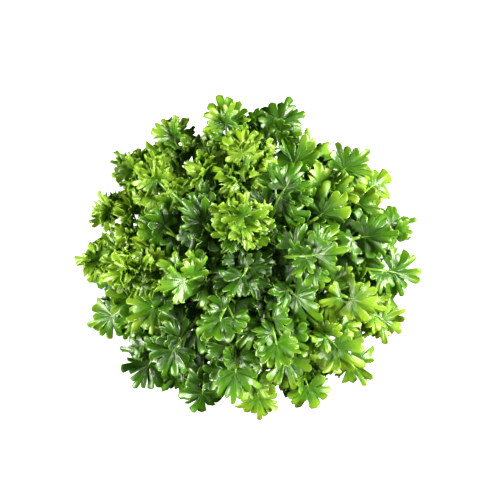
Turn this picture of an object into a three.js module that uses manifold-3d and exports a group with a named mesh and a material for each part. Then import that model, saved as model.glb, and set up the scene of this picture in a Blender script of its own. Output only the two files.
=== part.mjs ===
// A tied bunch of curled parsley that stands on its cut stems, in millimetres, with +Z up.
//
// The origin is on the surface that the bunch stands on, at the middle of the cut ends. Every frond is one solid:
// a stem that leaves the foot, passes through the rubber band, opens like a fountain and ends in a midrib with a tip
// leaflet and one or two pairs of side leaflets. A leaflet is an arched blade on a stalk, cut into lobes. The
// fronds' hubs, where the tip leaflets start, lie on a flattened ball, the crown.
import * as THREE from "three";
import { mergeVertices } from "three/addons/utils/BufferGeometryUtils.js";
import Module from "manifold-3d";

const wasm = await Module();
wasm.setup();

const radians = THREE.MathUtils.degToRad;
const { lerp } = THREE.MathUtils;
const UP = new THREE.Vector3(0, 0, 1);

// The crown: half widths along X and Y, and half heights above and below its middle. Deeper layers of fronds lie
// inside the outermost one.
const CROWN_HALF_WIDTHS = [68, 64];
const CROWN_RISE = 44;
const CROWN_DROP = 52;
const CROWN_MIDDLE = 68;
const LAYER_SHRINK = 0.16;

// The stems, from the cut ends to the hubs.
const STEM_SIDES = 5;
const FOOT_RADIUS = 1.75;
const NECK_RADIUS = 1.35;
const HUB_RADIUS = 0.9;
const FOOT_SPREAD = 1.5;
const BAND_HEIGHT = 30;
const STRAIGHT_STEM = 4;
const STEM_RISE = 26;
const MIDRIB_REACH = 26;
const MIDRIB_LEAN = radians(36);
const STEM_PLACES = [0, 0.36, 0.69, 0.85, 1];

// How the stems settle in the band and bend clear of each other above it.
const STEM_PITCH = 3.3;
const PACKING = 0.54;
const SETTLING_ROUNDS = 120;
const STEM_ROOM = 3.5;
const BENDING_ROUNDS = 60;
const BENDING_SHARE = 0.15;
const BAR_STEPS = 8;

// The rubber band, three turns high.
const BAND_TURNS = 3;
const BAND_TURN_HEIGHT = 2.2;
const BAND_THICKNESS = 1.1;
const BAND_GROOVE = 0.35;
const BAND_GAP = 0.35;
const BAND_SIDES = 20;

// The leaflets' blades, as shares of the blade's length where they aren't in millimetres.
const BLADE_THICKNESS = 0.8;
const STALK_HALF_WIDTH = 0.5;
const ROOT_DEPTH = 0.4;
const NOTCH_SHARE = 0.42;
const SHOULDER_SHARE = 0.88;
const DROOP_SHARE = 0.17;
const WAVE_SHARE = 0.16;
const CLEARANCE = 0.35;
const FLOOR_CLEARANCE = 0.4;
const SHARED_ROOT = 0.05;
const SMALLEST_DETAIL = 0.08;

// Every frond: azimuth from +X and fall from the crown's top in degrees, layer (0 is the outermost), curl from 0,
// flat, to 1, moss-curled, and youth from 0, deep green, to 1, yellow green.
const FRONDS = {
  heart: [
    [98, 16, 0, 0.6, 0.8],
    [-108, 6, 1, 0.0, 0.0],
    [64, 32, 0, 0.1, 0.4],
    [33, 42, 1, 0.1, 0.5],
    [4, 25, 0, 0.3, 0.5],
    [-38, 27, 1, 0.2, 0.5],
    [140, 26, 1, 0.0, 0.3],
    [-160, 25, 0, 0.1, 0.5],
    [-114, 31, 1, 0.1, 0.4],
    [-72, 36, 0, 0.3, 0.5],
  ],
  shoulder: [
    [92, 46, 0, 1.0, 1.0],
    [-22, 46, 0, 0.2, 0.8],
    [-174, 50, 0, 0.8, 0.9],
    [160, 44, 1, 0.3, 0.4],
    [137, 54, 0, 0.8, 0.8],
    [114, 50, 1, 0.7, 0.7],
    [66, 58, 1, 0.1, 0.5],
    [45, 62, 0, 0.4, 0.7],
    [12, 50, 0, 0.1, 0.4],
    [-46, 54, 0, 0.2, 0.7],
    [-70, 58, 1, 0.4, 0.7],
    [-96, 50, 0, 0.3, 0.4],
    [-128, 50, 0, 0.1, 0.2],
    [-152, 54, 1, 0.3, 0.6],
  ],
  rim: [
    [99, 72, 0, 0.5, 0.6],
    [78, 78, 0, 0.1, 0.5],
    [58, 84, 1, 0.1, 0.7],
    [32, 78, 0, 0.2, 0.8],
    [15, 82, 0, 0.1, 0.5],
    [-5, 72, 0, 0.2, 0.5],
    [-25, 80, 0, 0.1, 0.9],
    [-47, 82, 0, 0.3, 0.7],
    [-66, 80, 0, 0.4, 0.6],
    [-86, 74, 0, 0.4, 0.8],
    [-108, 80, 0, 0.1, 0.2],
    [-132, 76, 0, 0.1, 0.2],
    [-156, 78, 0, 0.4, 0.5],
    [180, 82, 0, 0.7, 0.8],
    [160, 76, 0, 0.8, 0.9],
    [140, 84, 0, 0.8, 0.7],
    [120, 80, 0, 0.6, 0.7],
  ],
  skirt: [
    [88, 100, 0, 0.2, 0.3],
    [36, 106, 0, 0.2, 0.3],
    [-14, 100, 0, 0.1, 0.4],
    [-60, 106, 0, 0.2, 0.2],
    [-120, 100, 0, 0.1, 0.2],
    [-170, 106, 0, 0.3, 0.4],
    [140, 102, 0, 0.3, 0.3],
  ],
};

// The leaflets of a frond: their place along the stem's curve, side (0 is the tip), angle from the midrib, stalk
// and blade lengths, number of lobes, and the deepest layer whose fronds have them.
const LEAFLETS = [
  { along: 1.0, side: 0, angle: 0, stalk: 2.5, length: 15.5, lobes: 5, deepest: 1 },
  { along: 0.86, side: 1, angle: 60, stalk: 4.0, length: 13.0, lobes: 3, deepest: 1 },
  { along: 0.84, side: -1, angle: 60, stalk: 4.0, length: 13.0, lobes: 3, deepest: 1 },
  { along: 0.7, side: 1, angle: 74, stalk: 6.0, length: 13.0, lobes: 3, deepest: 0 },
  { along: 0.68, side: -1, angle: 74, stalk: 6.0, length: 13.0, lobes: 3, deepest: 0 },
];

// The lobes of a blade: their angles from its middle, their lengths and half their width, as shares of the blade.
const LOBE_PLANS = {
  3: { angles: [-62, 0, 62], lengths: [0.86, 1, 0.86], halfWidth: 0.3 },
  5: { angles: [-100, -50, 0, 50, 100], lengths: [0.7, 0.88, 1, 0.88, 0.7], halfWidth: 0.23 },
};

// How far each leaflet strays from its plan: angles in degrees, the rest as shares.
const STRAY = { swing: 8, lift: 8, roll: 12, size: 0.08, droop: 0.05, angle: 4, length: 0.06, width: 0.08 };
const SIDE_ROLL = 11;

// The ways in which a leaflet gives way to what is there already, the first ones preferred: smaller, lifted, rolled
// about its stalk, or swung along its midrib.
const WAYS_CLEAR = [1, 0.85, 0.7].flatMap((size) =>
  [0, 14, -14, 28, -28].flatMap((lift) =>
    [0, 24, -24, 48].flatMap((roll) => [0, 14, -14].map((swing) => ({ size, lift, roll, swing }))),
  ),
);

// Leaf colours, from the oldest fronds to the youngest, and the band's.
const DEEP_GREEN = new THREE.Color(0.05, 0.2, 0.03);
const YOUNG_GREEN = new THREE.Color(0.3, 0.5, 0.03);
const BAND_COLOUR = new THREE.Color(0.62, 0.42, 0.2);

// A repeatable run of numbers from 0 to 1.
function draws(seed) {
  let state = seed >>> 0;
  return () => {
    state = (state + 0x6d2b79f5) >>> 0;
    let mixed = Math.imul(state ^ (state >>> 15), state | 1);
    mixed ^= mixed + Math.imul(mixed ^ (mixed >>> 7), mixed | 61);
    return ((mixed ^ (mixed >>> 14)) >>> 0) / 4294967296;
  };
}

// The fronds as objects, in the order of the table.
function frondList() {
  return Object.entries(FRONDS).flatMap(([ring, rows]) =>
    rows.map(([azimuth, fall, layer, curl, youth], index) => ({
      name: `frond_${ring}_${index + 1}`,
      azimuth: radians(azimuth),
      fall: radians(fall),
      layer,
      curl,
      youth,
    })),
  );
}

// Each stem's place in the band. The stems of low fronds lie outside those of high ones, and all settle a pitch
// apart round the highest one, which stays in the middle.
function settleStems(fronds) {
  const order = [...fronds].sort((a, b) => a.fall - b.fall);
  order.forEach((frond, rank) => {
    const radius = PACKING * STEM_PITCH * Math.sqrt(rank);
    frond.slot = new THREE.Vector2(Math.cos(frond.azimuth), Math.sin(frond.azimuth)).multiplyScalar(radius);
  });
  for (let round = 0; round < SETTLING_ROUNDS; round++) {
    fronds.forEach((a, i) => {
      for (const b of fronds.slice(i + 1)) {
        const apart = b.slot.clone().sub(a.slot);
        const lack = STEM_PITCH - apart.length();
        if (lack <= 0) continue;
        apart.setLength(lack / 2);
        a.slot.sub(apart);
        b.slot.add(apart);
      }
    });
    order[0].slot.set(0, 0);
  }
}

// A frond's hub on the crown, the way that its midrib ends, and the way that its leaflets face.
function placeHub(frond) {
  const { azimuth, fall, layer } = frond;
  const outward = new THREE.Vector3(Math.cos(azimuth), Math.sin(azimuth), 0);
  const radii = new THREE.Vector3(...CROWN_HALF_WIDTHS, fall < Math.PI / 2 ? CROWN_RISE : CROWN_DROP);
  const onBall = outward.clone().multiplyScalar(Math.sin(fall)).addScaledVector(UP, Math.cos(fall));
  const normal = onBall.clone().divide(radii).normalize();
  const downhill = outward.clone().addScaledVector(UP, -1);
  downhill.addScaledVector(normal, -downhill.dot(normal)).normalize();
  const upper = normal.clone().multiplyScalar(Math.sin(MIDRIB_LEAN)).addScaledVector(downhill, -Math.cos(MIDRIB_LEAN));
  const flatness = lerp(0.35, 1, Math.sin(Math.min(fall, Math.PI / 2)));
  frond.hub = onBall.multiply(radii).multiplyScalar(1 - layer * LAYER_SHRINK).addScaledVector(UP, CROWN_MIDDLE);
  frond.forward = normal.multiplyScalar(Math.cos(MIDRIB_LEAN)).addScaledVector(downhill, Math.sin(MIDRIB_LEAN));
  frond.face = upper.lerp(frond.forward, 1 - flatness).normalize();
}

// The stem's curve from the band to the hub.
function startCurve(frond) {
  const neck = new THREE.Vector3(frond.slot.x, frond.slot.y, BAND_HEIGHT + STRAIGHT_STEM);
  frond.controls = [
    neck,
    neck.clone().addScaledVector(UP, STEM_RISE),
    frond.hub.clone().addScaledVector(frond.forward, -MIDRIB_REACH),
    frond.hub,
  ];
  frond.curve = new THREE.CubicBezierCurve3(...frond.controls);
}

// How much each control point of a cubic curve counts at a place along it.
function shares(t) {
  return [(1 - t) ** 3, 3 * t * (1 - t) ** 2, 3 * t * t * (1 - t), t ** 3];
}

// Bends the stems clear of each other above the band. Where the bars of two stems are too near, the control points
// of both curves move apart, by as much as each counts there. The first control point, at the band, stays.
function bendStems(fronds) {
  const rows = STEM_PLACES.slice(1).flatMap((high, bar) =>
    Array.from({ length: BAR_STEPS }, (_, step) => {
      const end = shares(high);
      return shares(STEM_PLACES[bar]).map((share, c) => lerp(share, end[c], (step + 1) / BAR_STEPS));
    }),
  );
  const pointOf = ({ controls }, row) =>
    row.reduce((sum, share, c) => sum.addScaledVector(controls[c], share), new THREE.Vector3());
  for (let round = 0; round < BENDING_ROUNDS; round++) {
    const samples = fronds.map((frond) => rows.map((row) => pointOf(frond, row)));
    const moves = fronds.map(({ controls }) => controls.map(() => new THREE.Vector3()));
    const part = (i, k, j, l) => {
      const apart = samples[j][l].clone().sub(samples[i][k]);
      const lack = STEM_ROOM - apart.length();
      if (lack <= 0) return;
      apart.setLength(BENDING_SHARE * lack);
      rows[k].forEach((share, c) => moves[i][c].addScaledVector(apart, -share));
      rows[l].forEach((share, c) => moves[j][c].addScaledVector(apart, share));
    };
    for (let i = 0; i < fronds.length; i++) {
      for (let j = i + 1; j < fronds.length; j++) {
        rows.forEach((_, k) => rows.forEach((__, l) => part(i, k, j, l)));
      }
    }
    fronds.forEach(({ controls }, i) => controls.slice(1).forEach((point, c) => point.add(moves[i][c + 1])));
  }
}

// A closed mesh as a solid that can be joined and cut.
function solidOf(positions, triangles) {
  return new wasm.Manifold(
    new wasm.Mesh({
      numProp: 3,
      vertProperties: new Float32Array(positions),
      triVerts: new Uint32Array(triangles),
    }),
  );
}

// A bar with flat ends through rings of [centre, direction, radius].
function bar(rings) {
  const turn = new THREE.Quaternion();
  const positions = rings.flatMap(([centre, direction, radius]) => {
    turn.setFromUnitVectors(UP, direction);
    return Array.from({ length: STEM_SIDES }, (_, side) => {
      const angle = (2 * Math.PI * side) / STEM_SIDES;
      const corner = new THREE.Vector3(Math.cos(angle), Math.sin(angle), 0).multiplyScalar(radius);
      return corner.applyQuaternion(turn).add(centre).toArray();
    }).flat();
  });
  const triangles = [];
  for (let low = 0; low < (rings.length - 1) * STEM_SIDES; low += STEM_SIDES) {
    const high = low + STEM_SIDES;
    for (let side = 0; side < STEM_SIDES; side++) {
      const next = (side + 1) % STEM_SIDES;
      triangles.push(low + side, low + next, high + next, low + side, high + next, high + side);
    }
  }
  const last = (rings.length - 1) * STEM_SIDES;
  for (let side = 1; side < STEM_SIDES - 1; side++) {
    triangles.push(0, side + 1, side, last, last + side, last + side + 1);
  }
  return solidOf(positions, triangles);
}

function stem({ slot, curve }) {
  const foot = new THREE.Vector3(slot.x, slot.y, 0).multiplyScalar(FOOT_SPREAD);
  const belowBand = new THREE.Vector3(slot.x, slot.y, BAND_HEIGHT - STRAIGHT_STEM);
  const above = STEM_PLACES.map((t) => [curve.getPoint(t), curve.getTangent(t), lerp(NECK_RADIUS, HUB_RADIUS, t)]);
  return bar([[foot, UP, FOOT_RADIUS], [belowBand, UP, NECK_RADIUS], ...above]);
}

// A leaflet's own variation.
function traitsOf(seed, lobes) {
  const random = draws(seed);
  const vary = (spread) => spread * (2 * random() - 1);
  const plan = LOBE_PLANS[lobes];
  return {
    swing: vary(STRAY.swing),
    lift: vary(STRAY.lift),
    roll: vary(STRAY.roll),
    size: 1 + vary(STRAY.size),
    droop: DROOP_SHARE + vary(STRAY.droop),
    lobes: plan.angles.map((angle, lobe) => ({
      angle: radians(angle + vary(STRAY.angle)),
      reach: plan.lengths[lobe] * (1 + vary(STRAY.length)),
      half: plan.halfWidth * (1 + vary(STRAY.width)),
    })),
  };
}

// A lobed blade with its stalk along +Y and its upper face towards +Z, grown by a margin on every side. It arches
// down from the stalk, a curled one's lobes twist, and both of its faces are split alike.
function blade({ stalk, length, lobes, droop, curl, margin }) {
  const points = [];
  const add = (x, y, lift = 0) => {
    const reach = Math.hypot(x, Math.max(y - stalk, 0)) / length;
    return points.push([x, y, lift - droop * length * reach * reach]) - 1;
  };
  const spoke = (angle, reach, aside = 0, lift = 0) =>
    add(
      Math.sin(angle) * reach + Math.cos(angle) * aside,
      stalk + Math.cos(angle) * reach - Math.sin(angle) * aside,
      lift,
    );
  const halfStalk = STALK_HALF_WIDTH + margin;
  const roots = [add(-halfStalk, -ROOT_DEPTH), add(halfStalk, -ROOT_DEPTH)];
  const notches = [
    add(-halfStalk, stalk),
    ...lobes.slice(1).map((lobe, gap) => {
      const previous = lobes[gap];
      const reach = NOTCH_SHARE * length * Math.min(previous.reach, lobe.reach);
      return spoke((previous.angle + lobe.angle) / 2, reach);
    }),
    add(halfStalk, stalk),
  ];
  const faces = [];
  const rim = [roots[0], notches[0]];
  lobes.forEach(({ angle, reach, half }, lobe) => {
    const twist = (lobe % 2 ? 1 : -1) * curl * WAVE_SHARE * length;
    const shoulder = SHOULDER_SHARE * (reach * length + margin);
    const aside = half * length + margin;
    const near = spoke(angle, shoulder, -aside, -twist);
    const far = spoke(angle, shoulder, aside, twist);
    faces.push([notches[lobe], near, far], [notches[lobe], far, notches[lobe + 1]]);
    rim.push(near, far, notches[lobe + 1]);
  });
  rim.push(roots[1]);
  // The palm, between the notches, in strips from the stalk outwards.
  for (let low = 0, high = lobes.length; low + 1 < high; low++, high--) {
    faces.push([notches[low], notches[low + 1], notches[high - 1]], [notches[low], notches[high - 1], notches[high]]);
  }
  const stalkEnd = notches[lobes.length];
  faces.push([roots[0], notches[0], stalkEnd], [roots[0], stalkEnd, roots[1]]);
  const halfThickness = BLADE_THICKNESS / 2 + margin;
  const below = points.length;
  const positions = [halfThickness, -halfThickness].flatMap((lift) => points.flatMap(([x, y, z]) => [x, y, z + lift]));
  const triangles = faces.flatMap(([a, b, c]) => [a, c, b, a + below, b + below, c + below]);
  rim.forEach((a, index) => {
    const b = rim[(index + 1) % rim.length];
    triangles.push(a, b, b + below, a, b + below, a + below);
  });
  return solidOf(positions, triangles);
}

// A leaflet in place on its frond. The way is how it gives way, and the margin is added all round.
function leaflet(frond, plan, seed, way, margin) {
  const traits = traitsOf(seed, plan.lobes);
  const origin = frond.curve.getPoint(plan.along);
  const tangent = frond.curve.getTangent(plan.along);
  const upper = frond.face.clone().addScaledVector(tangent, -frond.face.dot(tangent)).normalize();
  const across = new THREE.Vector3().crossVectors(tangent, upper);
  const swing = radians(plan.angle + way.swing + traits.swing);
  const lift = radians(way.lift + traits.lift);
  const direction = tangent
    .multiplyScalar(Math.cos(swing))
    .addScaledVector(across, (plan.side || 1) * Math.sin(swing))
    .multiplyScalar(Math.cos(lift))
    .addScaledVector(upper, Math.sin(lift));
  const normal = frond.face.clone().addScaledVector(direction, -frond.face.dot(direction)).normalize();
  normal.applyAxisAngle(direction, radians(way.roll + traits.roll + plan.side * SIDE_ROLL));
  const right = new THREE.Vector3().crossVectors(direction, normal);
  const size = way.size * traits.size;
  const shape = blade({
    stalk: plan.stalk * size,
    length: plan.length * size,
    lobes: traits.lobes,
    droop: traits.droop,
    curl: frond.curl,
    margin,
  });
  return shape.transform(new THREE.Matrix4().makeBasis(right, direction, normal).setPosition(origin).elements);
}

function boxesMeet(a, b) {
  const [p, q] = [a.boundingBox(), b.boundingBox()];
  return [0, 1, 2].every((axis) => p.min[axis] <= q.max[axis] && q.min[axis] <= p.max[axis]);
}

// Whether a solid shares more than a volume with any of the others.
function crosses(candidate, others, allowed) {
  return others.some((other) => boxesMeet(candidate, other) && candidate.intersect(other).volume() > allowed);
}

// Grows the leaflets of all fronds, the tips first. Each takes the first way that clears the other fronds by the
// clearance and its own frond's leaflets but for their roots, and the odd one that finds none is left out.
function growLeaflets(fronds) {
  for (const frond of fronds) {
    frond.stem = stem(frond);
    frond.leaflets = [];
  }
  LEAFLETS.forEach((plan, place) => {
    fronds.forEach((frond, number) => {
      if (frond.layer > plan.deepest) return;
      const seed = 1000 * (number + 1) + place;
      const others = fronds.flatMap((other) => (other === frond ? [] : [other.stem, ...other.leaflets]));
      for (const way of WAYS_CLEAR) {
        const guard = leaflet(frond, plan, seed, way, CLEARANCE);
        if (guard.boundingBox().min[2] < FLOOR_CLEARANCE || crosses(guard, others, 0)) continue;
        const grown = leaflet(frond, plan, seed, way, 0);
        if (crosses(grown, frond.leaflets, SHARED_ROOT)) continue;
        frond.leaflets.push(grown);
        break;
      }
    });
  });
}

function frondMesh(frond) {
  const joined = wasm.Manifold.union([frond.stem, ...frond.leaflets]).simplify(SMALLEST_DETAIL).getMesh();
  const geometry = new THREE.BufferGeometry();
  geometry.setAttribute("position", new THREE.BufferAttribute(new Float32Array(joined.vertProperties), 3));
  geometry.setIndex(new THREE.BufferAttribute(new Uint32Array(joined.triVerts), 1));
  const material = new THREE.MeshStandardMaterial({
    color: DEEP_GREEN.clone().lerp(YOUNG_GREEN, frond.youth),
    roughness: 0.45,
    metalness: 0,
  });
  const mesh = new THREE.Mesh(geometry, material);
  mesh.name = frond.name;
  return mesh;
}

// The rubber band: a ring with a groove between its turns.
function bandMesh(fronds) {
  const inner = Math.max(...fronds.map(({ slot }) => slot.length())) + NECK_RADIUS + BAND_GAP;
  const outer = inner + BAND_THICKNESS;
  const half = (BAND_TURNS * BAND_TURN_HEIGHT) / 2;
  const profile = [new THREE.Vector2(inner, -half)];
  for (let turn = 0; turn < BAND_TURNS; turn++) {
    const low = turn * BAND_TURN_HEIGHT - half;
    profile.push(new THREE.Vector2(outer - BAND_GROOVE, low));
    profile.push(new THREE.Vector2(outer, low + BAND_TURN_HEIGHT / 2));
  }
  profile.push(new THREE.Vector2(outer - BAND_GROOVE, half), new THREE.Vector2(inner, half), profile[0].clone());
  const lathe = new THREE.LatheGeometry(profile, BAND_SIDES);
  lathe.deleteAttribute("normal");
  lathe.deleteAttribute("uv");
  const material = new THREE.MeshStandardMaterial({ color: BAND_COLOUR, roughness: 0.6, metalness: 0 });
  const mesh = new THREE.Mesh(mergeVertices(lathe), material);
  mesh.name = "rubber_band";
  mesh.rotation.x = Math.PI / 2;
  mesh.position.z = BAND_HEIGHT;
  return mesh;
}

const fronds = frondList();
settleStems(fronds);
fronds.forEach(placeHub);
fronds.forEach(startCurve);
bendStems(fronds);
growLeaflets(fronds);

const bunch = new THREE.Group();
bunch.add(...fronds.map(frondMesh), bandMesh(fronds));

export default bunch;
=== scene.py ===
"""The looks of a tied bunch of curled parsley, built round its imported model.

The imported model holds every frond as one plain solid. This script works out the same stems and leaflets
from the same table and rules, in millimetres, and puts fine ones in their place: round ridged stems, and
thin blades with rounded fingers, rolled and ruffled edges, veins and pale rims. It stretches the band
round the stems, lights the bunch and looks straight down on it.
"""

import itertools
import math
from types import SimpleNamespace

import bpy
import numpy as np
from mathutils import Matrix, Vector
from mathutils.kdtree import KDTree


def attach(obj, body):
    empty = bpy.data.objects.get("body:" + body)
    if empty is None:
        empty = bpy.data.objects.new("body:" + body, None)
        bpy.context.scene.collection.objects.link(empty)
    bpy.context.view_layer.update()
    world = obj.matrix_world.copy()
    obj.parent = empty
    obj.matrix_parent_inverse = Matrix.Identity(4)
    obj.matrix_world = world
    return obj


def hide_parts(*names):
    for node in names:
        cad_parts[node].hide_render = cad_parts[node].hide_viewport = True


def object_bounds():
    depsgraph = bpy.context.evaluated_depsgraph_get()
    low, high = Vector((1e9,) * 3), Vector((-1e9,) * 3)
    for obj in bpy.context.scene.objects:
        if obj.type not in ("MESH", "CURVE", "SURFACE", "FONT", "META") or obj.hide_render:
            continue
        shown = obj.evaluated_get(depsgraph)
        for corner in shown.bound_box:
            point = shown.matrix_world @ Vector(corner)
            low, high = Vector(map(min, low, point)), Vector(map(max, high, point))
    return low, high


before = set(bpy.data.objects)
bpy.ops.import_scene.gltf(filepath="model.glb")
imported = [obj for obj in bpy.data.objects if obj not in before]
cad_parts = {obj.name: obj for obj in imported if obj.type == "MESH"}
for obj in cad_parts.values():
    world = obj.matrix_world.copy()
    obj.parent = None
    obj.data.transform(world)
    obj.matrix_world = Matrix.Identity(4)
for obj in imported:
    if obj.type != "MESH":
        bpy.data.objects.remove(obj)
cad_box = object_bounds()

MM = 0.001
UP = np.array([0.0, 0.0, 1.0])


def named(names, rows):
    """A table's rows with a name for each of their values."""
    return [SimpleNamespace(**dict(zip(names.split(), row))) for row in rows]


def ways(sizes, lifts, rolls, swings):
    """How a leaflet may give way, first choice first: its size as a share, its angles in degrees."""
    return named("size lift roll swing", itertools.product(sizes, lifts, rolls, swings))


# The crown and the stems, as in the model's source, in millimetres.
CROWN_HALF_WIDTHS = (68, 64)
CROWN_RISE = 44
CROWN_DROP = 52
CROWN_MIDDLE = 68
LAYER_SHRINK = 0.16
FOOT_RADIUS = 1.75
NECK_RADIUS = 1.35
HUB_RADIUS = 0.9
FOOT_SPREAD = 1.5
BAND_HEIGHT = 30
STRAIGHT_STEM = 4
STEM_RISE = 26
MIDRIB_REACH = 26
MIDRIB_LEAN = math.radians(36)
LEAST_FLATNESS = 0.35
STEM_PLACES = (0, 0.36, 0.69, 0.85, 1)
STEM_PITCH = 3.3
PACKING = 0.54
SETTLING_ROUNDS = 120
STEM_ROOM = 3.5
BENDING_ROUNDS = 60
BENDING_SHARE = 0.15
BAR_STEPS = 8

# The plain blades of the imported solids, for finding each leaflet in them.
BLADE_THICKNESS = 0.8
SHOULDER_SHARE = 0.88
NOTCH_SHARE = 0.42
DROOP_SHARE = 0.17
WAVE_SHARE = 0.16
FOUND_WITHIN = 0.2

# Every frond: azimuth from +X and fall from the crown's top in degrees, layer, curl and youth.
FRONDS = {
    "heart": [
        (98, 16, 0, 0.6, 0.8),
        (-108, 6, 1, 0.0, 0.0),
        (64, 32, 0, 0.1, 0.4),
        (33, 42, 1, 0.1, 0.5),
        (4, 25, 0, 0.3, 0.5),
        (-38, 27, 1, 0.2, 0.5),
        (140, 26, 1, 0.0, 0.3),
        (-160, 25, 0, 0.1, 0.5),
        (-114, 31, 1, 0.1, 0.4),
        (-72, 36, 0, 0.3, 0.5),
    ],
    "shoulder": [
        (92, 46, 0, 1.0, 1.0),
        (-22, 46, 0, 0.2, 0.8),
        (-174, 50, 0, 0.8, 0.9),
        (160, 44, 1, 0.3, 0.4),
        (137, 54, 0, 0.8, 0.8),
        (114, 50, 1, 0.7, 0.7),
        (66, 58, 1, 0.1, 0.5),
        (45, 62, 0, 0.4, 0.7),
        (12, 50, 0, 0.1, 0.4),
        (-46, 54, 0, 0.2, 0.7),
        (-70, 58, 1, 0.4, 0.7),
        (-96, 50, 0, 0.3, 0.4),
        (-128, 50, 0, 0.1, 0.2),
        (-152, 54, 1, 0.3, 0.6),
    ],
    "rim": [
        (99, 72, 0, 0.5, 0.6),
        (78, 78, 0, 0.1, 0.5),
        (58, 84, 1, 0.1, 0.7),
        (32, 78, 0, 0.2, 0.8),
        (15, 82, 0, 0.1, 0.5),
        (-5, 72, 0, 0.2, 0.5),
        (-25, 80, 0, 0.1, 0.9),
        (-47, 82, 0, 0.3, 0.7),
        (-66, 80, 0, 0.4, 0.6),
        (-86, 74, 0, 0.4, 0.8),
        (-108, 80, 0, 0.1, 0.2),
        (-132, 76, 0, 0.1, 0.2),
        (-156, 78, 0, 0.4, 0.5),
        (180, 82, 0, 0.7, 0.8),
        (160, 76, 0, 0.8, 0.9),
        (140, 84, 0, 0.8, 0.7),
        (120, 80, 0, 0.6, 0.7),
    ],
    "skirt": [
        (88, 100, 0, 0.2, 0.3),
        (36, 106, 0, 0.2, 0.3),
        (-14, 100, 0, 0.1, 0.4),
        (-60, 106, 0, 0.2, 0.2),
        (-120, 100, 0, 0.1, 0.2),
        (-170, 106, 0, 0.3, 0.4),
        (140, 102, 0, 0.3, 0.3),
    ],
}

# The leaflets of a frond: place along the stem's curve, side (0 is the tip), angle from the midrib in
# degrees, stalk and blade lengths in millimetres, number of lobes, and the deepest layer that has them.
LEAFLETS = named(
    "along side angle stalk length lobes deepest",
    [
        (1.0, 0, 0, 2.5, 15.5, 5, 1),
        (0.86, 1, 60, 4.0, 13.0, 3, 1),
        (0.84, -1, 60, 4.0, 13.0, 3, 1),
        (0.7, 1, 74, 6.0, 13.0, 3, 0),
        (0.68, -1, 74, 6.0, 13.0, 3, 0),
    ],
)
# The lobes of a blade: their angles in degrees, and their lengths and half width as shares of the blade's.
LOBE_PLANS = {
    3: ((-62, 0, 62), (0.86, 1, 0.86), 0.3),
    5: ((-100, -50, 0, 50, 100), (0.7, 0.88, 1, 0.88, 0.7), 0.23),
}
# How far a leaflet strays from its plan: angles in degrees, the rest as shares.
STRAY = SimpleNamespace(swing=8, lift=8, roll=12, size=0.08, droop=0.05, angle=4, length=0.06, width=0.08)
SIDE_ROLL = 11
WAYS_CLEAR = ways((1, 0.85, 0.7), (0, 14, -14, 28, -28), (0, 24, -24, 48), (0, 14, -14))

# Fine blades. Thicknesses are in millimetres, and lengths along a blade are shares of its own.
THICKNESS = 0.32
RIM_THICKNESS = 0.15
TIP_SHARE = 0.96
FILL = 1.24
SLIT = math.radians(1.3)
WIDE_GAP = 6 * SLIT

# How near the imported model's box blades are eased back, in millimetres.
EASING = 3.0

# The curls from which blades are crimped, and from which smaller blades rise from their palms.
CRIMPED_CURL = 0.55
ROSETTE_CURL = 0.5

# How a lobe divides: each finger's place across the lobe, length and half width, as shares of the lobe's.
SINGLE = ((0.0, 1.0, 0.72),)
PAIR = ((-0.46, 1.0, 0.46), (0.46, 0.9, 0.44))
TRIDENT = ((-0.64, 0.82, 0.37), (0.0, 1.0, 0.4), (0.64, 0.78, 0.36))
QUARTET = ((-0.78, 0.76, 0.27), (-0.27, 0.97, 0.29), (0.27, 1.0, 0.3), (0.78, 0.78, 0.27))
QUINTET = ((-0.84, 0.72, 0.22), (-0.44, 0.9, 0.24), (0.0, 1.0, 0.25), (0.44, 0.92, 0.24), (0.84, 0.74, 0.22))

# What a blade's wide and slim lobes divide into, and how far out the clefts between their fingers reach.
CRIMPED_HABIT = SimpleNamespace(wide=(QUARTET, QUINTET), slim=(TRIDENT, QUARTET), clefts=(0.7, 0.86))
BROAD_HABIT = SimpleNamespace(wide=(TRIDENT, QUARTET), slim=(PAIR, TRIDENT), clefts=(0.7, 0.88))
SLENDER_HABIT = SimpleNamespace(wide=(PAIR, TRIDENT), slim=(SINGLE, PAIR), clefts=(0.62, 0.8))
WIDE_LOBE = 0.26
BROAD_SHARE = 0.7

# How fingers vary: turn in radians, the power that shapes the tip, and the rest as factors.
WIDEST_FINGER = 0.36
FINGER = SimpleNamespace(
    length=(0.92, 1.04), turn=(-0.03, 0.03), point=(1.25, 2.3), notch=(0.95, 1.25), slit=(0.8, 2.2)
)

# A blade's edge from its outermost notch back to its stalk, and round the floor of a wide notch.
PALM_SIDE = SimpleNamespace(turn=0.2, share=0.6)
PALM_HEEL = SimpleNamespace(turn=0.5, reach=0.1)
NOTCH_CORNER = 1.05
NOTCH_FLOOR = 0.96
PAST_FINGER = 1.1

# How flat and tightly curled blades bend: each a middle and a spread, or the ends of a range. A finger
# bends from its start on, which is a share of the cleft beside it.
ROLL = ((1.1, 1.2), (1.0, 3.4))
CUP = ((-1.2, 0.6), (-0.3, 1.3))
TWIST = ((0, 0.55), (0, 0.9))
RISE = ((0, 0.3), (0, 0.5))
LOBE_RISE = ((0.01, 0.225), (0, 0.15))
LOBE_FOLD = ((-1.4, 0.2), (0.2, 0.8))
BOWL = ((-0.16, 0.08), (0.0, 0.3))
START = (0.95, 0.62)
RUFFLE = (0.022, 0.04)
CRISP = (0.028, 0.075)
ROLL_LIMITS = (-2.0, 3.4)
LEAST_ROLL = 0.05
UPTURNED = 0.35

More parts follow.
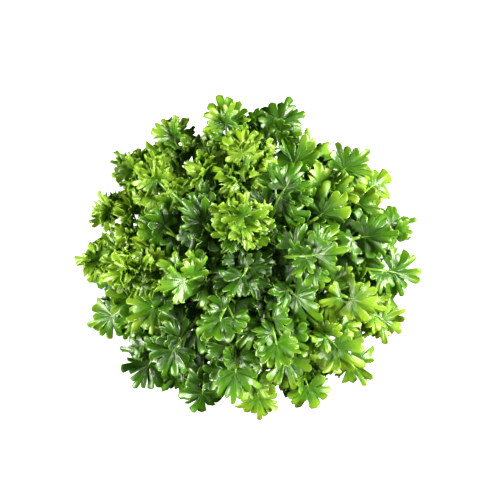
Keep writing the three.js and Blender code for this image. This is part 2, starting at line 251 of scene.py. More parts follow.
# Where a blade's features set in, over what distance, and how far they go on growing.
FREE_FINGER = (0, 0.3, 1)
OUTER_BLADE = (NOTCH_SHARE, 0.46, 1.1)
CRISP_EDGE = (0.5, 0.4, 1.2)
VEINS_PART = (0.22, 0.42, 1)
FOLDED_BY = 0.75
LOBE_WIDEST_AT = 0.8
LOBE_CURVE = 1.5
LOBE_LEVEL = 0.5
PAST_LOBE = 1.2
FINGER_LEVEL = 0.3

# Waves over a blade, in radians to one round the palm or to a blade length outwards.
RUFFLES = (11, 23)
SECOND_RUFFLE = 0.7
CRISPING = 27
FAINT = SimpleNamespace(depth=0.012, outwards=19, around=5)

# How a blade's tint varies from others', and a finger's from its blade's.
BLADE_TINT = (0.15, 0.85)
FINGER_TINT = (-0.15, 0.15)

# How much painted shade deep in the crown takes from a leaflet's youth, darkening its green, and from where
# and over what share of it.
DEEP_SHADE = 0.6
DEEP_FROM = 0.02
DEEP_OVER = 0.35

# How finely a blade is divided: spokes to a finger, and rings as shares of each spoke.
FINE = SimpleNamespace(spokes=5, rings=np.array([0.28, 0.5, 0.69, 0.84, 0.94, 1.0]))
PLAIN = SimpleNamespace(spokes=5, rings=np.array([0.38, 0.68, 0.89, 1.0]))
CRIMPED = SimpleNamespace(spokes=3, rings=np.array([0.3, 0.56, 0.76, 0.91, 1.0]))
FINE_FROM = 0.9

# Blades that rise from the palm of a tightly curled leaflet: swing, tilt and length, and how they vary.
ROSETTE = ((55, 34, 0.8), (40, 58, 0.62))
ROSETTE_STRAY = SimpleNamespace(swing=(-15, 15), tilt=(-8, 8), youth=(-0.15, 0.15), droop=0.05, stalk=0.5)

# Stems and stalks are round bars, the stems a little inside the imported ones.
STEM_SIDES = 10
STEM_STEPS = 16
FOOT_STEPS = (0, 0.01, 0.25, 0.5, 0.75)
STEM_FILL = 0.97
STEM_RIDGES = 0.05
CUT_EDGE = 0.9
STEM_TIP = 0.7
ASLANT = (0.31, 0.87, 0.12)
STALK_SIDES = 6
STALK_RADII = (0.55, 0.45, 0.4, 0.14)
VEIN_SHARE = 0.25
FAR_FROM_RIM = 2.0

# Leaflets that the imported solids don't have, with the shallowest layer that has them, and how they vary.
EXTRAS = named(
    "along side angle stalk length lift shallowest",
    [
        (0.93, 1, 36, 9.0, 11.5, -24, 0),
        (0.91, -1, 36, 9.0, 11.5, -24, 0),
        (0.97, 1, 118, 1.5, 11.0, 30, 0),
        (0.95, -1, 128, 1.5, 11.0, 28, 0),
        (0.8, 1, 165, 2.0, 11.5, 26, 0),
        (0.64, -1, 170, 2.0, 11.5, 24, 0),
        (0.7, 1, 74, 5.5, 12.0, 0, 1),
        (0.68, -1, 74, 5.5, 12.0, 0, 1),
        (0.56, 1, 78, 7.0, 11.5, 0, 0),
        (0.54, -1, 78, 7.0, 11.5, 0, 0),
        (0.42, 1, 70, 8.0, 11.0, 0, 0),
        (0.4, -1, 70, 8.0, 11.0, 0, 0),
    ],
)
EXTRA_WAYS = ways((1, 0.8), (0, 18, -18, 36), (0, 30, -30), (0, -25, 25))
EXTRA_STRAY = SimpleNamespace(swing=(-12, 12), lift=(-8, 8), roll=(-20, 20), size=(0.85, 1.1), droop=0.12)
LOBE_STRAY = SimpleNamespace(angle=(-8, 8), length=(0.9, 1.06), width=(0.9, 1.1))
EXTRA_SEED = 7000
EXTRA_CLEARANCE = 1.1
LOWEST_EXTRA = 3
CROWD_STEP = 3
FAR_AWAY = -1000

# The photo's size in pixels, what one pixel spans at the crown, and where the crown's middle shows in it.
PHOTO_SIZE = 500
MM_PER_PIXEL = 0.47
CROWN_PIXEL = (248, 259.5)
CAMERA_DISTANCE = 900
SENSOR = 36

# The rubber band, in millimetres. It lies on the stems that face its way by the least facing or more.
BAND_SEED = 90
BAND_TURNS = 3
BAND_TURN_HEIGHT = 2.2
BAND_THICKNESS = 1.1
BAND_SIDES = 12
BAND_STEPS = 96
BAND_ROUNDING = 0.7
BAND_WOBBLE = (0.04, 0.1)
TURN_GAP = 0.25
STEM_GAP = 0.15
LEAST_FACING = 0.1

# Colours, as linear red, green and blue.
LEAF = SimpleNamespace(
    deep=(0.012, 0.05, 0.002),
    grown=(0.044, 0.15, 0.002),
    young=(0.205, 0.345, 0.014),
    # The rim colour is a painted highlight, for the light that leaf margins catch.
    rim=(0.24, 0.44, 0.03),
    vein=(0.17, 0.36, 0.02),
    underside=(0.1, 0.25, 0.012),
    stem=(0.09, 0.22, 0.012),
    stem_streak=(0.2, 0.38, 0.03),
    stem_cut=(0.42, 0.5, 0.2),
    shine=(0.92, 1, 0.72),
    light_let_through=(2.2, 2.0, 0.4),
)
RUBBER = SimpleNamespace(
    brown=(0.42, 0.24, 0.09), tan=(0.62, 0.4, 0.18), streak=(0.3, 0.16, 0.06), bloom=(0.74, 0.62, 0.42)
)
TRANSLUCENT_SHARE = 0.2
SKY = (0.85, 1, 0.5, 1)
SKY_STRENGTH = 0.04

# The studio, in metres: half the floor's width, and each lamp's place, aim, size and power in watts.
FLOOR_REACH = 30
LAMPS = {
    "key": ((0.95, 0.2, 0.6), (0, 0, 0.07), 0.6, 58),
    "left": ((-0.94, -0.15, 0.52), (0, 0, 0.08), 0.6, 40),
}


# ---- layout


def unit(vector):
    return vector / np.linalg.norm(vector)


def draws(seed):
    """A repeatable run of numbers from 0 to 1, the same as in the model's source."""
    mask = 0xFFFFFFFF
    state = seed & mask

    def draw():
        nonlocal state
        state = (state + 0x6D2B79F5) & mask
        mixed = ((state ^ (state >> 15)) * (state | 1)) & mask
        mixed ^= (mixed + (mixed ^ (mixed >> 7)) * (mixed | 61)) & mask
        return (mixed ^ (mixed >> 14)) / 2**32

    return draw


def frond_list():
    fronds = []
    for ring, rows in FRONDS.items():
        for index, frond in enumerate(named("azimuth fall layer curl youth", rows)):
            frond.name = f"{ring}_{index + 1}"
            frond.azimuth = math.radians(frond.azimuth)
            frond.fall = math.radians(frond.fall)
            fronds.append(frond)
    return fronds


def settle_stems(fronds):
    """Each stem's place in the band, a pitch from its neighbours, the highest frond's in the middle."""
    order = sorted(fronds, key=lambda frond: frond.fall)
    for rank, frond in enumerate(order):
        radius = PACKING * STEM_PITCH * math.sqrt(rank)
        frond.slot = [math.cos(frond.azimuth) * radius, math.sin(frond.azimuth) * radius]
    for _ in range(SETTLING_ROUNDS):
        for i, a in enumerate(fronds):
            for b in fronds[i + 1 :]:
                dx = b.slot[0] - a.slot[0]
                dy = b.slot[1] - a.slot[1]
                distance = math.hypot(dx, dy)
                if distance >= STEM_PITCH:
                    continue
                push = (STEM_PITCH - distance) / 2 / distance
                a.slot = [a.slot[0] - dx * push, a.slot[1] - dy * push]
                b.slot = [b.slot[0] + dx * push, b.slot[1] + dy * push]
        order[0].slot = [0.0, 0.0]


def place_hub(frond):
    """The frond's hub on the crown, the way that its midrib ends, and the way that its leaflets face."""
    outward = np.array([math.cos(frond.azimuth), math.sin(frond.azimuth), 0])
    radii = np.array([*CROWN_HALF_WIDTHS, CROWN_RISE if frond.fall < math.pi / 2 else CROWN_DROP])
    on_ball = outward * math.sin(frond.fall) + UP * math.cos(frond.fall)
    normal = unit(on_ball / radii)
    downhill = outward - UP
    downhill = unit(downhill - normal * (downhill @ normal))
    upper = normal * math.sin(MIDRIB_LEAN) - downhill * math.cos(MIDRIB_LEAN)
    flatness = LEAST_FLATNESS + (1 - LEAST_FLATNESS) * math.sin(min(frond.fall, math.pi / 2))
    hub = on_ball * radii * (1 - frond.layer * LAYER_SHRINK) + UP * CROWN_MIDDLE
    frond.forward = normal * math.cos(MIDRIB_LEAN) + downhill * math.sin(MIDRIB_LEAN)
    frond.face = unit(upper * flatness + frond.forward * (1 - flatness))
    neck = np.array([*frond.slot, BAND_HEIGHT + STRAIGHT_STEM])
    frond.controls = np.array([neck, neck + UP * STEM_RISE, hub - frond.forward * MIDRIB_REACH, hub])


def shares(t):
    """How much each control point of a cubic curve counts at a place along it."""
    return np.array([(1 - t) ** 3, 3 * t * (1 - t) ** 2, 3 * t * t * (1 - t), t**3])


def bend_stems(fronds):
    """Moves the curves' control points apart until the stems clear each other, as in the model's source."""
    rows = []
    for low, high in zip(STEM_PLACES, STEM_PLACES[1:]):
        for step in range(1, BAR_STEPS + 1):
            rows.append(shares(low) + (shares(high) - shares(low)) * step / BAR_STEPS)
    rows = np.array(rows)
    count, samples_each = len(fronds), len(rows)
    owner = np.repeat(np.arange(count), samples_each)
    row_of = np.tile(np.arange(samples_each), count)
    controls = np.array([frond.controls for frond in fronds])
    for _ in range(BENDING_ROUNDS):
        points = np.einsum("rc,ncx->nrx", rows, controls).reshape(-1, 3)
        squares = (points**2).sum(1)
        gaps = squares[:, None] + squares[None, :] - 2 * points @ points.T
        first, second = np.nonzero((gaps < STEM_ROOM**2) & (owner[:, None] < owner[None, :]))
        apart = points[second] - points[first]
        distance = np.linalg.norm(apart, axis=1)
        push = apart * (BENDING_SHARE * (STEM_ROOM - distance) / distance)[:, None]
        moves = np.zeros_like(controls)
        np.add.at(moves, owner[first], -rows[row_of[first]][:, :, None] * push[:, None, :])
        np.add.at(moves, owner[second], rows[row_of[second]][:, :, None] * push[:, None, :])
        moves[:, 0] = 0
        controls += moves
    for frond, points in zip(fronds, controls):
        frond.controls = points


def point_at(frond, t):
    return shares(t) @ frond.controls


def tangent_at(frond, t):
    """The curve's direction, from two points a ten-thousandth to either side."""
    low, high = max(0, t - 1e-4), min(1, t + 1e-4)
    return unit(point_at(frond, high) - point_at(frond, low))


def traits_of(seed, lobes):
    """A leaflet's own variation, drawn in the same order as in the model's source."""
    draw = draws(seed)

    def vary(spread):
        return spread * (2 * draw() - 1)

    angles, lengths, half_width = LOBE_PLANS[lobes]
    traits = SimpleNamespace(
        swing=vary(STRAY.swing),
        lift=vary(STRAY.lift),
        roll=vary(STRAY.roll),
        size=1 + vary(STRAY.size),
        droop=DROOP_SHARE + vary(STRAY.droop),
        lobes=[],
    )
    for angle, length in zip(angles, lengths):
        lobe_angle = math.radians(angle + vary(STRAY.angle))
        reach = length * (1 + vary(STRAY.length))
        traits.lobes.append((lobe_angle, reach, half_width * (1 + vary(STRAY.width))))
    return traits


def turned(vector, axis, angle):
    return vector * math.cos(angle) + np.cross(axis, vector) * math.sin(angle)


def seat(frond, plan, traits, way):
    """A leaflet's frame: where its stalk starts, and its right, forward and upper directions as columns."""
    tangent = tangent_at(frond, plan.along)
    upper = unit(frond.face - tangent * (frond.face @ tangent))
    across = np.cross(tangent, upper)
    swing = math.radians(plan.angle + way.swing + traits.swing)
    lift = math.radians(way.lift + traits.lift)
    along = tangent * math.cos(swing) + across * (plan.side or 1) * math.sin(swing)
    direction = along * math.cos(lift) + upper * math.sin(lift)
    normal = unit(frond.face - direction * (frond.face @ direction))
    normal = turned(normal, direction, math.radians(way.roll + traits.roll + plan.side * SIDE_ROLL))
    return point_at(frond, plan.along), np.column_stack([np.cross(direction, normal), direction, normal])


def beside(angle, out, aside):
    """Where a point is that lies out along an angle from straight ahead, and aside from it."""
    return math.sin(angle) * out + math.cos(angle) * aside, math.cos(angle) * out - math.sin(angle) * aside


def shoulder_corners(plan, traits, size, curl):
    """The corners of the plain blade's lobes, on its upper face, in the leaflet's frame."""
    length, stalk = plan.length * size, plan.stalk * size
    corners = []
    for index, (angle, reach, half) in enumerate(traits.lobes):
        twist = (1 if index % 2 else -1) * curl * WAVE_SHARE * length
        for side in (-1, 1):
            x, y = beside(angle, SHOULDER_SHARE * reach * length, side * half * length)
            far = math.hypot(x, max(y, 0)) / length
            z = side * twist - traits.droop * length * far * far + BLADE_THICKNESS / 2
            corners.append((x, stalk + y, z))
    return np.array(corners)


def find_way(frond, plan, traits, tree):
    """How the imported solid's own leaflet gives way: the way whose corners are all in the solid, or None."""
    for way in WAYS_CLEAR:
        origin, axes = seat(frond, plan, traits, way)
        corners = shoulder_corners(plan, traits, way.size * traits.size, frond.curl) @ axes.T + origin
        if all(tree.find(corner)[2] < FOUND_WITHIN for corner in corners):
            return way
    return None


# ---- shapes


class Sheet:
    """Vertices, faces and point attributes of a piece, gathered part by part, in millimetres."""

    NAMES = ("rim", "vein", "reach", "along", "stalk", "youth", "tint", "under")

    def __init__(self):
        self.points = []
        self.faces = []
        self.values = {name: [] for name in self.NAMES}
        self.count = 0

    def add(self, points, faces, **values):
        self.points.append(points)
        self.faces.extend(np.asarray(group) + self.count for group in faces)
        for name in self.NAMES:
            self.values[name].append(np.broadcast_to(values.get(name, 0.0), len(points)))
        self.count += len(points)

    def make(self, name, material):
        mesh = bpy.data.meshes.new(name)
        sizes = np.concatenate([np.full(len(group), group.shape[1]) for group in self.faces])
        corners = np.concatenate([group.ravel() for group in self.faces])
        mesh.vertices.add(self.count)
        mesh.vertices.foreach_set("co", (np.concatenate(self.points) * MM).astype(np.float32).ravel())
        mesh.loops.add(len(corners))
        mesh.loops.foreach_set("vertex_index", corners.astype(np.int32))
        mesh.polygons.add(len(sizes))
        mesh.polygons.foreach_set("loop_start", (np.cumsum(sizes) - sizes).astype(np.int32))
        mesh.polygons.foreach_set("use_smooth", np.ones(len(sizes), bool))
        mesh.update(calc_edges=True)
        for label, parts in self.values.items():
            layer = mesh.attributes.new(label, "FLOAT", "POINT")
            layer.data.foreach_set("value", np.concatenate(parts).astype(np.float32))
        mesh.materials.append(material)
        piece = bpy.data.objects.new(name, mesh)
        bpy.context.scene.collection.objects.link(piece)
        return piece


def grid_faces(rows, columns, around=False):
    """Quads between neighbouring rows of a grid of points, whose columns may close on themselves."""
    index = np.arange(rows * columns).reshape(rows, columns)
    right = np.roll(index, -1, axis=1)
    last = columns if around else columns - 1
    quads = np.stack([index[:-1, :last], right[:-1, :last], right[1:, :last], index[1:, :last]], axis=-1)
    return quads.reshape(-1, 4)


def tube(sheet, centres, radii, sides, ridges=0.0, **values):
    """A closed bar along points, with shallow ridges. One that starts on the floor stands square on it."""
    centres = np.asarray(centres, float)
    ways = np.gradient(centres, axis=0)
    ways /= np.linalg.norm(ways, axis=1)[:, None]
    if centres[0][2] == 0:
        ways[:2] = UP
    side = unit(np.cross(ways[0], np.array(ASLANT)))
    angles = np.arange(sides) * 2 * math.pi / sides
    rings = []
    for centre, way, radius in zip(centres, ways, radii):
        side = unit(side - way * (side @ way))
        other = np.cross(way, side)
        out = radius * (1 + ridges * np.cos(angles * sides / 2))
        rings.append(centre + np.outer(np.cos(angles) * out, side) + np.outer(np.sin(angles) * out, other))
    ends = [np.arange(sides)[None, ::-1], np.arange((len(rings) - 1) * sides, len(rings) * sides)[None]]
    sheet.add(np.concatenate(rings), [grid_faces(len(rings), sides, around=True), *ends], **values)


def fingers_of(lobes, curl, rng):
    """The rounded fingers that a blade's lobes divide into, each with the depth of the clefts beside it."""
    fingers = []
    broad = rng.uniform() < BROAD_SHARE
    habit = CRIMPED_HABIT if curl > CRIMPED_CURL else BROAD_HABIT if broad else SLENDER_HABIT
    for index, (angle, reach, half) in enumerate(lobes):
        plan = (habit.wide if half > WIDE_LOBE else habit.slim)[rng.integers(2)]
        flip = rng.choice([-1, 1])
        for aside, length, share in plan[::flip]:
            length = reach * length * rng.uniform(*FINGER.length)
            width = min(half * FILL * share, WIDEST_FINGER * length)
            distance = TIP_SHARE * length - width
            turn = angle + math.asin(aside * flip * half * FILL / distance) + rng.uniform(*FINGER.turn)
            spread = math.asin(width / distance)
            finger = SimpleNamespace(lobe=index, angle=turn, distance=distance, width=width, reach=length)
            finger.low, finger.high = turn - spread, turn + spread
            finger.point = rng.uniform(*FINGER.point)
            fingers.append(finger)
    fingers[0].before = NOTCH_SHARE * fingers[0].reach
    fingers[-1].after = NOTCH_SHARE * fingers[-1].reach
    for finger, after in zip(fingers, fingers[1:]):
        shortest = min(finger.reach, after.reach)
        if finger.lobe == after.lobe:
            depth = shortest * rng.uniform(*habit.clefts)
        else:
            depth = shortest * NOTCH_SHARE * rng.uniform(*FINGER.notch)
        finger.after = after.before = depth
        slit = SLIT * rng.uniform(*FINGER.slit)
        if after.low - finger.high < 2 * slit:
            middle = (finger.high + after.low) / 2
            finger.high = middle - slit
            after.low = middle + slit
    return fingers


def outline_of(fingers, spokes):
    """The spokes of a blade from its palm, in rows of angle, reach, the finger's index and place across."""
    rows = []
    first, last = fingers[0], fingers[-1]
    rows.append((first.low - PALM_HEEL.turn, PALM_HEEL.reach, 0, -1.0))
    rows.append((first.low - PALM_SIDE.turn, PALM_SIDE.share * first.before, 0, -1.0))
    rows.append((first.low - SLIT, first.before, 0, -1.0))
    for index, finger in enumerate(fingers):
        middle, half_turn = (finger.low + finger.high) / 2, (finger.high - finger.low) / 2
        for step in np.sin(np.linspace(-math.pi / 2, math.pi / 2, spokes)):
            angle = middle + half_turn * step
            off = angle - finger.angle
            aside = finger.distance * math.sin(off)
            tip = finger.width * max(1 - abs(aside / finger.width) ** finger.point, 0) ** (1 / finger.point)
            rows.append((angle, finger.distance * math.cos(off) + tip, index, step))
        if finger is last:
            continue
        after = fingers[index + 1]
        gap = after.low - finger.high
        if gap > WIDE_GAP:
            rows.append((finger.high + SLIT, finger.after * NOTCH_CORNER, index, 1.0))
            rows.append((finger.high + gap / 2, finger.after * NOTCH_FLOOR, index, PAST_FINGER))
            rows.append((after.low - SLIT, finger.after * NOTCH_CORNER, index + 1, -1.0))
        else:
            rows.append((finger.high + gap / 2, finger.after, index, 1.0))
    end = len(fingers) - 1
    rows.append((last.high + SLIT, last.after, end, 1.0))
    rows.append((last.high + PALM_SIDE.turn, PALM_SIDE.share * last.after, end, 1.0))
    rows.append((last.high + PALM_HEEL.turn, PALM_HEEL.reach, end, 1.0))
    return rows


def spokes_of(fingers, lobes, count):
    """A blade's spokes as columns, with what each takes from its finger and its lobe."""
    angle, reach, finger, across = (column[:, None] for column in np.array(outline_of(fingers, count)).T)
    finger = finger.astype(int)
    lobe = np.array([each.lobe for each in fingers])[finger]
    spokes = SimpleNamespace(angle=angle, reach=reach, across=across, finger=finger, lobe=lobe)
    spokes.lobe_angle, _, spokes.lobe_half = (np.array(column)[lobe] for column in zip(*lobes))
    spokes.finger_angle = np.array([each.angle for each in fingers])[finger]
    spokes.cleft = np.array([max(each.before, each.after) for each in fingers])[finger]
    spokes.width = np.array([each.width for each in fingers])[finger]
    return spokes


def blend(flat, curled, curl):
    return flat * (1 - curl) + curled * curl


def bends_of(spokes, fingers, lobes, curl, rng):
    """How each spoke bends with its finger and its lobe, and the phases of the blade's waves."""

    def drawn(draw, ends, count=None):
        flat, tight = ends
        return blend(draw(*flat, count), draw(*tight, count), curl)

    flat_roll = np.clip(rng.normal(*ROLL[0], fingers), *ROLL_LIMITS)
    turns = rng.choice([-1.0, 1.0], fingers, p=[UPTURNED, 1 - UPTURNED])
    roll = blend(flat_roll, turns * rng.uniform(*ROLL[1], fingers), curl)
    roll = np.where(np.abs(roll) < LEAST_ROLL, LEAST_ROLL, roll)
    return SimpleNamespace(
        roll=roll[spokes.finger],
        cup=drawn(rng.uniform, CUP, fingers)[spokes.finger],
        twist=drawn(rng.normal, TWIST, fingers)[spokes.finger],
        rise=drawn(rng.normal, RISE, fingers)[spokes.finger],
        lobe_rise=drawn(rng.normal, LOBE_RISE, lobes)[spokes.lobe],
        lobe_fold=drawn(rng.uniform, LOBE_FOLD, lobes)[spokes.lobe],
        bowl=drawn(rng.uniform, BOWL),
        phase=rng.uniform(0, 2 * math.pi, 3),
    )


def set_in(values, start, distance, most):
    """How far a feature has set in that starts at one value and is full a distance later."""
    return np.clip((values - start) / distance, 0, most)


def bent_surface(theta, share, spokes, bends, droop, curl):
    """How far out and how high each point of a blade lies once it is bent, in blade lengths."""
    over = np.clip(share - spokes.cleft * blend(*START, curl), 0, None)
    free = set_in(over, *FREE_FINGER) ** 1.3
    outer = set_in(share, *OUTER_BLADE)
    lobe_turn = np.arctan(spokes.lobe_half / LOBE_WIDEST_AT)
    aside = np.clip((theta - spokes.lobe_angle) / lobe_turn, -PAST_LOBE, PAST_LOBE)
    lobe_side = np.where(spokes.lobe % 2 == 1, 1.0, -1.0)
    out = share - over + np.sin(bends.roll * over) / bends.roll

    rolled = -(1 - np.cos(bends.roll * over)) / bends.roll + bends.rise * over
    bowed = (bends.bowl - droop) * share**2
    raised = bends.lobe_rise * outer
    waved = lobe_side * curl * WAVE_SHARE * aside * outer
    depth = bends.lobe_fold * spokes.lobe_half * np.minimum(share / FOLDED_BY, 1) ** 1.8
    folded = depth * (np.abs(aside) ** LOBE_CURVE - LOBE_LEVEL)
    across = spokes.across
    cupped = (bends.cup * (across**2 - FINGER_LEVEL) + bends.twist * across) * spokes.width * free
    ruffles = [np.sin(theta * often + phase) for often, phase in zip(RUFFLES, bends.phase)]
    ruffled = blend(*RUFFLE, curl) * (ruffles[0] + SECOND_RUFFLE * ruffles[1]) * outer
    crimps = np.sin(theta * CRISPING + bends.phase[2])
    crisped = blend(*CRISP, curl) * crimps * set_in(share, *CRISP_EDGE) ** 1.5
    faint = FAINT.depth * np.sin(share * FAINT.outwards + FAINT.around * theta + bends.phase[2])
    return out, rolled + bowed + raised + waved + folded + cupped + ruffled + crisped + faint


def vertex_normals(points, quads, fan):
    """Smooth normals from the faces round each vertex."""
    normals = np.zeros_like(points)
    a, b, c, d = (points[corner] for corner in quads.T)
    quad_normals = np.cross(c - a, d - b)
    a, b, c = (points[corner] for corner in fan.T)
    fan_normals = np.cross(b - a, c - a)
    for faces, face_normals in ((quads, quad_normals), (fan, fan_normals)):
        for corner in range(faces.shape[1]):
            np.add.at(normals, faces[:, corner], face_normals)
    lengths = np.linalg.norm(normals, axis=1)
    return normals / np.maximum(lengths, 1e-9)[:, None]


def thickened(top, spokes, rings):
    """The points and faces of a closed thin sheet round a blade's surface, and the points of its rim."""
    index = 1 + np.arange(spokes * rings).reshape(spokes, rings)
    quads = grid_faces(spokes, rings)[:, ::-1] + 1
    fan = np.column_stack([np.zeros(spokes - 1, int), index[1:, 0], index[:-1, 0]])
    rim = np.concatenate([[0], index[0], index[1:-1, -1], index[-1][::-1]])
    thickness = np.full((len(top), 1), THICKNESS)
    thickness[rim] = RIM_THICKNESS
    offset = vertex_normals(top, quads, fan) * thickness / 2
    below = len(top)
    edge = np.column_stack([rim, np.roll(rim, -1), np.roll(rim, -1) + below, rim + below])
    faces = [quads, fan, quads[:, ::-1] + below, fan[:, ::-1] + below, edge]
    return np.vstack([top + offset, top - offset]), faces, rim


def kept_inside(points):
    """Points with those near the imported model's box eased back, so that none leaves it."""
    low, high = (np.array(corner) / MM for corner in cad_box)
    top, bottom = high - EASING, low + EASING
    points = np.where(points > top, top + EASING * np.tanh((points - top) / EASING), points)
    return np.where(points < bottom, bottom + EASING * np.tanh((points - bottom) / EASING), points)


def on_both_faces(values, palm=0.0):
    """A value for each point of a blade's upper and lower face, from the palm's and its surface's."""
    return np.tile(np.concatenate([[palm], values.ravel()]), 2)


def blade(sheet, origin, axes, stalk, length, traits, curl, rng, youth, detail):
    """Adds a fine leaf blade, and returns some of its points, for judging what is clear of it."""
    fingers = fingers_of(traits.lobes, curl, rng)
    spokes = spokes_of(fingers, traits.lobes, detail.spokes)
    bends = bends_of(spokes, len(fingers), len(traits.lobes), curl, rng)
    share = spokes.reach * detail.rings
    theta = spokes.angle + np.zeros_like(share)
    out, height = bent_surface(theta, share, spokes, bends, traits.droop, curl)
    heading = np.column_stack([np.sin(theta).ravel(), np.cos(theta).ravel()])
    flat = np.vstack([[0, 0], heading * share.reshape(-1, 1)]) * length
    top = np.column_stack([heading * out.reshape(-1, 1), height.ravel()])
    top = np.vstack([[0, 0, height[:, 0].mean() / 2], top]) * length
    top[:, 1] += stalk
    points, faces, rim = thickened(top, *share.shape)

    # Veins run out from the palm along each lobe and part to its fingers.
    part = set_in(share, *VEINS_PART)
    apart = spokes.finger_angle - spokes.lobe_angle
    vein_angle = spokes.lobe_angle + apart * part * part * (3 - 2 * part)
    tint = rng.uniform(*BLADE_TINT)
    tints = (tint + rng.uniform(*FINGER_TINT, len(fingers)))[spokes.finger]
    placed = kept_inside(points @ axes.T + origin)
    sheet.add(
        placed,
        faces,
        rim=np.tile(np.min(np.linalg.norm(flat[:, None] - flat[None, rim[1:]], axis=2), axis=1), 2),
        vein=on_both_faces(np.abs(theta - vein_angle) * share) * length,
        reach=on_both_faces(share),
        along=on_both_faces(share) * length,
        youth=youth,
        tint=on_both_faces(tints + np.zeros_like(share), tint),
        under=np.repeat([0.0, 1.0], len(top)),
    )
    return placed[1 : len(top) : CROWD_STEP]


def stalk_tube(sheet, origin, axes, stalk, length, youth):
    """The leaflet's stalk, which runs on under the blade as its main vein."""
    rows = [[0, -0.4, 0], [0, stalk * 0.5, 0], [0, stalk, -0.2], [0, stalk + VEIN_SHARE * length, -0.45]]
    centres = np.array(rows) @ axes.T + origin
    tube(sheet, centres, STALK_RADII, STALK_SIDES, stalk=1.0, youth=youth, rim=FAR_FROM_RIM, reach=0.2)


# ---- pieces


def stem_tube(sheet, frond):
    """A frond's stem from its level-cut end to its hub."""
    x, y = frond.slot
    foot = np.array([x * FOOT_SPREAD, y * FOOT_SPREAD, 0.0])
    low = np.array([x, y, BAND_HEIGHT - STRAIGHT_STEM])
    centres = [foot + (low - foot) * step for step in FOOT_STEPS]
    radii = [FOOT_RADIUS + (NECK_RADIUS - FOOT_RADIUS) * step for step in FOOT_STEPS]
    radii[0] *= CUT_EDGE
    centres += [low, low + UP * STRAIGHT_STEM]
    radii += [NECK_RADIUS, NECK_RADIUS]
    for t in np.linspace(0, 1, STEM_STEPS):
        centres.append(point_at(frond, t))
        radii.append(NECK_RADIUS + (HUB_RADIUS - NECK_RADIUS) * t)
    radii[-1] *= STEM_TIP
    radii = np.array(radii) * STEM_FILL
    tube(sheet, centres, radii, STEM_SIDES, STEM_RIDGES, stalk=1.0, youth=frond.youth, rim=FAR_FROM_RIM)


def stray_lobes(rng):
    """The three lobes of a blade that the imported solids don't have: angle, length and half width."""
    angles, lengths, half_width = LOBE_PLANS[3]
    lobes = []
    for angle, length in zip(angles, lengths):
        lobe_angle = math.radians(angle + rng.uniform(*LOBE_STRAY.angle))
        reach = length * rng.uniform(*LOBE_STRAY.length)
        lobes.append((lobe_angle, reach, half_width * rng.uniform(*LOBE_STRAY.width)))
    return lobes


def shaded_youth_at(frond, place):
    """Painted shade: leaflets deep in the crown get less youth, so a darker green, than the frond's outer
    ones.
    """
    radii = np.array([*CROWN_HALF_WIDTHS, CROWN_RISE if place[2] > CROWN_MIDDLE else CROWN_DROP])
    depth = 1 - np.linalg.norm((place - UP * CROWN_MIDDLE) / radii)
    return frond.youth - DEEP_SHADE * min(max((depth - DEEP_FROM) / DEEP_OVER, 0), 1)


def grow_leaflet(frond, plan, traits, way, rng, detail, rosette):
    """A leaflet on its stalk. Tightly curled ones carry smaller blades that rise from the same palm."""
    origin, axes = seat(frond, plan, traits, way)
    size = way.size * traits.size
    stalk, length = plan.stalk * size, plan.length * size
    # This youth is lowered by painted shade for leaflets deep in the crown.
    youth = shaded_youth_at(frond, origin + axes[:, 1] * (stalk + length / 2))
    stalk_tube(frond.sheet, origin, axes, stalk, length, youth)
    detail = CRIMPED if frond.curl > CRIMPED_CURL else detail
    crowd = blade(frond.sheet, origin, axes, stalk, length, traits, frond.curl, rng, youth, detail)
    frond.crowd.append(crowd)
    if frond.curl < ROSETTE_CURL:
        return
    stray = ROSETTE_STRAY
    palm = origin + axes[:, 1] * stalk
    for swing, tilt, share in rosette:
        swing = math.radians(swing * rng.choice([-1, 1]) + rng.uniform(*stray.swing))
        tilt = math.radians(tilt + rng.uniform(*stray.tilt))
        ahead = turned(axes[:, 1], axes[:, 2], swing)
        forward = ahead * math.cos(tilt) + axes[:, 2] * math.sin(tilt)
        upper = axes[:, 2] * math.cos(tilt) - ahead * math.sin(tilt)
        tilted = np.column_stack([np.cross(forward, upper), forward, upper])
        small = SimpleNamespace(lobes=stray_lobes(rng), droop=stray.droop)
        young = min(1, youth + rng.uniform(*stray.youth))
        reach = length * share
        blade(frond.sheet, palm, tilted, stray.stalk, reach, small, frond.curl, rng, young, CRIMPED)


def coarse_points(plan, traits, size):
    """Points over a blade, in its leaflet's frame, for judging whether it is clear of others."""
    rows = []
    for angle, reach, half in traits.lobes:
        for share, side in itertools.product((0.3, 0.6, 0.85, 1.0), (-1, 0, 1)):
            out = share * reach
            rows.append((*beside(angle, out, side * half * share), -traits.droop * out * out))
    points = np.array(rows) * plan.length * size
    points[:, 1] += plan.stalk * size
    return points


def tree_of(points):
    tree = KDTree(len(points))
    for index, point in enumerate(points):
        tree.insert(point, index)
    tree.balance()
    return tree


